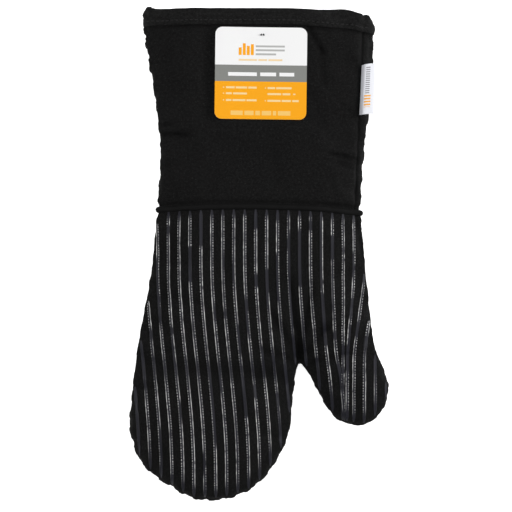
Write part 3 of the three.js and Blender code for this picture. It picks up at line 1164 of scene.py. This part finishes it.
def addCard():
    width, height = tagShape["size"]
    bm = bmesh.new()
    bmesh.ops.create_grid(bm, x_segments=11, y_segments=11, size=0.5)
    bmesh.ops.scale(bm, vec=(width, height, 1), verts=bm.verts)
    corners = [v for v in bm.verts if len(v.link_faces) == 1]
    roundOff(bm, corners, tagShape["corner"], 6, "VERTICES")
    cuts = [((0, height / 2 - low, 0), (0, 1, 0)) for low in tagShape["bands"]]
    cuts += [((hole[0], 0, 0), (1, 0, 0)) for hole in tagShape["holes"]]
    cuts += [((0, tagShape["holes"][0][1], 0), (0, 1, 0))]
    for place, facing in cuts:
        cutPlane(bm, place, facing, dist=1e-7)
    for across, up in tagShape["holes"]:
        middle = [v for v in bm.verts if (v.co - Vector((across, up, 0))).length < 0.05 * mm]
        made = roundOff(bm, middle, tagShape["holeRadius"], 4, "VERTICES")
        hole = Vector((across, up, 0))
        inside = [f for f in made["faces"] if (f.calc_center_median() - hole).length < 0.2 * mm]
        bmesh.ops.delete(bm, geom=inside, context="FACES")
    for face in bm.faces:
        down = height / 2 - face.calc_center_median().y
        face.material_index = sum(down > low for low in tagShape["bands"])
    for v in bm.verts:
        v.co = onCard(v.co.x, v.co.y, 0)
    card = giveWall(keepMesh("hang_card", bm, shade=False), tagShape["thick"])
    for name in ("white", "band", "orange"):
        card.data.materials.append(inks[name])
    for face in card.data.polygons:
        if face.normal.z < 0.5:
            face.material_index = 0
    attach(card, "hang_tag")
    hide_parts("hang_tag")


def addPrint():
    width, height = tagShape["size"]
    bm = bmesh.new()
    names = [name for name in inks if name != "band"]
    bars = [(ink, top, bottom, *span) for ink, top, bottom, spans in tagRows for span in spans]
    for ink, top, bottom, left, right in bars:
        made = bmesh.ops.create_grid(bm, x_segments=2, y_segments=1, size=0.5)["verts"]
        faces = {f for v in made for f in v.link_faces}
        for v in made:
            across = (left + (v.co.x + 0.5) * (right - left)) * mm - width / 2
            up = height / 2 - (bottom + (v.co.y + 0.5) * (top - bottom)) * mm
            v.co = onCard(across, up, 0.04 * mm)
        for face in faces:
            face.material_index = names.index(ink)
    bm.normal_update()
    for face in bm.faces:
        if face.normal.z < 0:
            face.normal_flip()
    printed = keepMesh("tag_print", bm, shade=False)
    for name in names:
        printed.data.materials.append(inks[name])
    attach(printed, "hang_tag")


def rod(bm, start, end, radius):
    along = end - start
    made = bmesh.ops.create_cone(
        bm, cap_ends=True, segments=12, radius1=radius, radius2=radius, depth=along.length,
        matrix=Matrix.Translation((start + end) / 2) @ along.to_track_quat("Z", "Y").to_matrix().to_4x4(),
    )["verts"]
    rims = {e for v in made for e in v.link_edges if len({f for f in e.link_faces if len(f.verts) > 4}) == 1}
    roundOff(bm, list(rims), radius * 0.55, 3, "EDGES")


stapleShape = {"radius": 0.46 * mm, "bar": 0.7 * mm, "lean": math.radians(24)}


def addStaple():
    bm = bmesh.new()
    radius, bar = stapleShape["radius"], stapleShape["bar"]
    above, below = 0.1 * mm + radius, -tagShape["thick"] - 0.3 * mm - radius
    feet = []
    for (across, up), side in zip(tagShape["holes"], (-1, 1)):
        top = onCard(across, up, above)
        foot = onCard(across, up, below)
        feet.append(foot)
        rod(bm, foot, top, radius * 0.8)
        lean = (tagUp * math.cos(stapleShape["lean"]) - tagRight * side * math.sin(stapleShape["lean"])) * bar
        rod(bm, top - lean, top + lean, radius)
    rod(bm, feet[0], feet[1], radius * 0.8)
    staple = keepMesh("tag_staple", bm)
    staple.data.set_sharp_from_angle(angle=math.radians(50))
    staple.data.materials.append(plainMaterial("blackPlastic", (0.003, 0.003, 0.003), 0.6, 0.1))
    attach(staple, "hang_tag")
    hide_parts("tag_fastener")


# the satin loop in the cuff's side seam
labelShape = {
    "thick": 0.3 * mm,
    "cut": 27 * mm,  # the ribbon's width before it was folded
    "short": 1.4 * mm,
    # section of the loop in millimetres: right of the seam, above the hinge's height
    "section": [
        (0, -1.4), (0.45, -1.0), (0.9, -0.45), (1.5, 0.05), (2.3, 0.35), (4.0, 0.5), (6.5, 0.5), (8.4, 0.4),
        (9.5, 0.15), (10.05, -0.25), (10.1, -0.65), (9.7, -0.95), (8.2, -1.1), (6, -1.05), (4, -1.0),
        (2.2, -1.1), (1.0, -1.4), (0, -1.65),
    ],
    "rows": 20,
}


def labelRoot(y):
    return sideSeamX(y) + 0.6 * mm


def addLabel():
    low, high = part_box("side_label")
    section = labelShape["section"]
    bm = bmesh.new()
    order = gridColumns(bm, len(section), labelShape["rows"] + 1)
    woven = bm.loops.layers.uv.new("cloth")
    places = {}
    for number, v in enumerate(order):
        i, j = divmod(number, labelShape["rows"] + 1)
        share = j / labelShape["rows"]
        y = low[1] + share * (high[1] - low[1] - labelShape["short"])
        right, up = section[i]
        root = labelRoot(y)
        ground = dropOnto(skinTree, root - 0.2 * mm, y, True)[0]
        base = ground.z - labelHinge.z + (1.6 if i > len(section) / 2 else 1.7) * mm if ground else 0
        rise = 1 - smooth(0, 1.8, right)
        hump = smooth(0.72, 1, share) * bump(right, 6.5, 3) * (1 if i < len(section) / 2 else 0)
        z = labelHinge.z + up * mm + min(base, 0) * rise + 0.5 * mm * hump
        dip = 0.25 * mm * math.sin(share * 5) * smooth(2, 6, right)
        v.co = (root + right * mm, y + 0.6 * mm * hump - 0.4 * mm * bump(right, 2, 2) * (1 - share), z + dip)
        places[v] = (i / (len(section) - 1), share)
    for face in bm.faces:
        for loop in face.loops:
            loop[woven].uv = places[loop.vert]
    bmesh.ops.recalc_face_normals(bm, faces=bm.faces)
    bm.normal_update()
    top = max(bm.faces, key=lambda f: f.calc_center_median().z)
    if top.normal.z < 0:
        bmesh.ops.reverse_faces(bm, faces=bm.faces)
    label = giveWall(keepMesh("side_loop", bm), labelShape["thick"])
    label.data.materials.append(makeSatin())
    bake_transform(label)
    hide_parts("side_label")


def boxMask(tree, uv, low, high):  # 1 inside a rectangle of the map, 0 outside
    split = splitNode(tree, uv)
    inside = None
    for k in range(2):
        for limit, operation in ((low[k], "GREATER_THAN"), (high[k], "LESS_THAN")):
            test = mathNode(tree, operation, split[k], limit)
            inside = test if inside is None else times(tree, inside, test)
    return inside


def makeSatin():
    material, tree, shader = newMaterial("whiteSatin")
    uv = uvNode(tree, "cloth")
    ribs = noiseNode(tree, uv, 90, 2, 0.6)
    colour = mixColour(tree, ribs, (0.78, 0.79, 0.84), (0.86, 0.87, 0.92))
    for low, high, dashes, ink in [
        ((0.25, 0.41), (0.335, 0.94), 24, (0.30, 0.30, 0.32)),
        ((0.22, 0.14), (0.36, 0.385), 17, (0.88, 0.40, 0.05)),
    ]:
        wave = mathNode(tree, "SINE", times(tree, splitNode(tree, uv)[1], 2 * math.pi * dashes))
        wave = scaled(tree, wave, 2.5, 1.0, clamp=True)
        mask = times(tree, boxMask(tree, uv, low, high), wave)
        colour = mixColour(tree, mask, colour, ink)
    tree.links.new(colour, shader.inputs["Base Color"])
    shader.inputs["Roughness"].default_value = 0.42
    bumpInto(tree, shader, ribs, 0.04 * mm)
    return material


# topstitching of the hem
stitchShape = {"pitch": 3.5 * mm, "long": 1.9 * mm, "radius": 0.24 * mm, "above": 2.9 * mm}


def addStitches(hem):
    hemTree = BVHTree.FromObject(hem, bpy.context.evaluated_depsgraph_get())
    bm = bmesh.new()
    for fromAbove in (True, False):
        x = -80 * mm
        while x < 80 * mm:
            ends = []
            for shift in (-0.5, 0.5):
                u = x + shift * stitchShape["long"] * (1 + 0.35 * noise.noise(Vector((x * 400, 0, 0))))
                y = hemY + stitchShape["above"] + hemSag(u) + 0.5 * mm * noise.noise(Vector((u * 120, 5, 0)))
                hit, normal = dropOnto(hemTree, u, y, fromAbove)
                if hit:
                    ends.append(hit + normal * 0.05 * mm)
            if len(ends) == 2 and (ends[0] - ends[1]).length < stitchShape["long"] * 2:
                rod(bm, ends[0], ends[1], stitchShape["radius"])
            x += stitchShape["pitch"]
    for v in bm.verts:
        v.co.z = max(v.co.z, hemShape["lowest"])
    stitches = keepMesh("hem_stitches", bm)
    stitches.data.materials.append(plainMaterial("blackThread", (0.017, 0.017, 0.017), 0.7, 0.2))
    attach(stitches, "cuff")


twillWeave = makeTwillGroup()
twill = clothMaterial(
    "blackTwill", (0.0004, 0.0004, 0.0004), (0.0102, 0.0102, 0.0101), 1.1 * mm, 0.9, 0.12 * mm, True, 480
)
gripTwill = clothMaterial(
    "gripTwill", (0.0002, 0.0002, 0.0002), (0.0092, 0.0092, 0.0091), 1.3 * mm, 0.9, 0.16 * mm, True, 620
)
trimBlack = (0.001, 0.001, 0.001)
trimTwill = clothMaterial("trimTwill", trimBlack, (0.0142, 0.0142, 0.014), 0.9 * mm, 0.88, 0.1 * mm)
weltTwill = clothMaterial("weltTwill", trimBlack, (0.0068, 0.0068, 0.0068), 0.9 * mm, 0.88, 0.1 * mm)
liningFleece = clothMaterial(
    "liningFleece", (0.01, 0.01, 0.011), (0.032, 0.032, 0.034), 2.2 * mm, 0.97, 0.25 * mm
)
siliconeBead = makeSilicone()

addCovers()
print("covers done")
addLinings()
hem = addHem()
addStitches(hem)
addWelt()
addCard()
addPrint()
addStaple()
addLabel()
print("linings, trims and tag done")
addStripes()
print("stripes done")
skin.free()
discard(blown)
